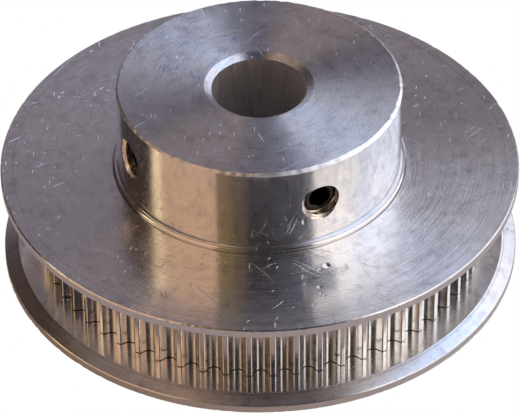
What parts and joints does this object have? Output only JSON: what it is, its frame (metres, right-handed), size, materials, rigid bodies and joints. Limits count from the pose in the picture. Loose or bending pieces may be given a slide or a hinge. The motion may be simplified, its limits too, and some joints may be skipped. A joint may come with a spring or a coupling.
{
  "type": "timing belt pulley",
  "caption": "Aluminium timing belt pulley with a round-tooth rim between two flanges, and a bored hub that set screws clamp to a shaft.",
  "frame": {"origin": "centre of the bottom face, on the shaft's axis, where the pulley stands on its outer flange", "axes": "+Z along the shaft's axis towards the hub's end; the front set screw comes out along -Y and the side set screw along -X"},
  "size_m": [0.044, 0.044, 0.017],
  "materials": {
    "turned_aluminium": "bright turned, fine concentric tool marks",
    "flange_aluminium": "bright turned disc, lightly scratched",
    "black_steel": "black oxide, slightly oily"
  },
  "bodies": {
    "pulley": {"pulley_body": "turned_aluminium", "hub_side_flange": "flange_aluminium", "outer_flange": "flange_aluminium"},
    "front_screw": {"front_set_screw": "black_steel"},
    "side_screw": {"side_set_screw": "black_steel"}
  },
  "joints": [
    {"name": "front_screw_travel", "type": "slide", "parent": "pulley", "child": "front_screw", "axis": [0, -1, 0], "range_m": [-0.0014, 0.007]},
    {"name": "side_screw_travel", "type": "slide", "parent": "pulley", "child": "side_screw", "axis": [-1, 0, 0], "range_m": [-0.0014, 0.007]}
  ]
}
